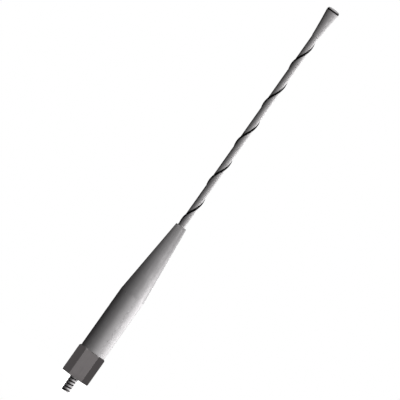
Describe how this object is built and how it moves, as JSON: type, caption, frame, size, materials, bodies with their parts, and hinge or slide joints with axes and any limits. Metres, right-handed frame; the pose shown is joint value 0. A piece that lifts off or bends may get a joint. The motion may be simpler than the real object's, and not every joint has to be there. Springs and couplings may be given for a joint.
{
  "type": "omnidirectional antenna",
  "caption": "Base-loaded mobile whip antenna: threaded stud, hexagonal base, tapered coil housing, rod with a spiral wire, and a flared tip that screws out for tuning.",
  "frame": {"origin": "on the antenna's axis, in the seat face on the underside of the hexagon", "axes": "+Z along the antenna towards its tip, so the stud points along -Z; -Y faces a flat of the hexagon"},
  "size_m": [0.0196, 0.0176, 0.3006],
  "materials": {
    "hex_base": "dark satin plating",
    "stud": "bright zinc, rolled thread",
    "housing": "satin nickel",
    "rubber": "matt black",
    "brass": "as turned",
    "copper": "enamelled copper",
    "former": "glass-filled, matt",
    "fastener": "bright zinc",
    "rod": "pultruded glass fibre, silver grey lacquer",
    "wire": "black enamelled wire",
    "tip": "satin nickel",
    "cap": "moulded, grey"
  },
  "bodies": {
    "antenna": {"mounting_stud": "stud", "hex_base": "hex_base", "seat_seal": "rubber", "base_seal": "rubber", "cone_seal": "rubber", "coil_barrel": "housing", "taper_cone": "housing", "mouth_seal": "rubber", "lower_terminal": "brass", "upper_terminal": "brass", "coil_former": "former", "loading_coil": "copper", "lower_pin": "fastener", "upper_pin": "fastener", "whip_foot": "brass", "lock_washer": "fastener", "lock_nut": "fastener", "whip_rod": "rod", "radiator_wire": "wire", "tip_ferrule": "tip", "tip_insert": "brass"},
    "tip_washer": {"tip_seal": "rubber"},
    "tuning_tip": {"tuning_screw": "fastener", "tip_dome": "cap"}
  },
  "joints": [
    {"name": "tip_travel", "type": "slide", "parent": "antenna", "child": "tip_washer", "axis": [0, 0, 1], "range_m": [0, 0.004]},
    {"name": "tip_turn", "type": "hinge", "parent": "tip_washer", "child": "tuning_tip", "pos_m": [0, 0, 0.2876], "axis": [0, 0, 1], "range_deg": [0, 2880]}
  ],
  "couplings": [
    {"joint": "tip_turn", "follows": "tip_travel", "rad_per_m": 12566}
  ]
}
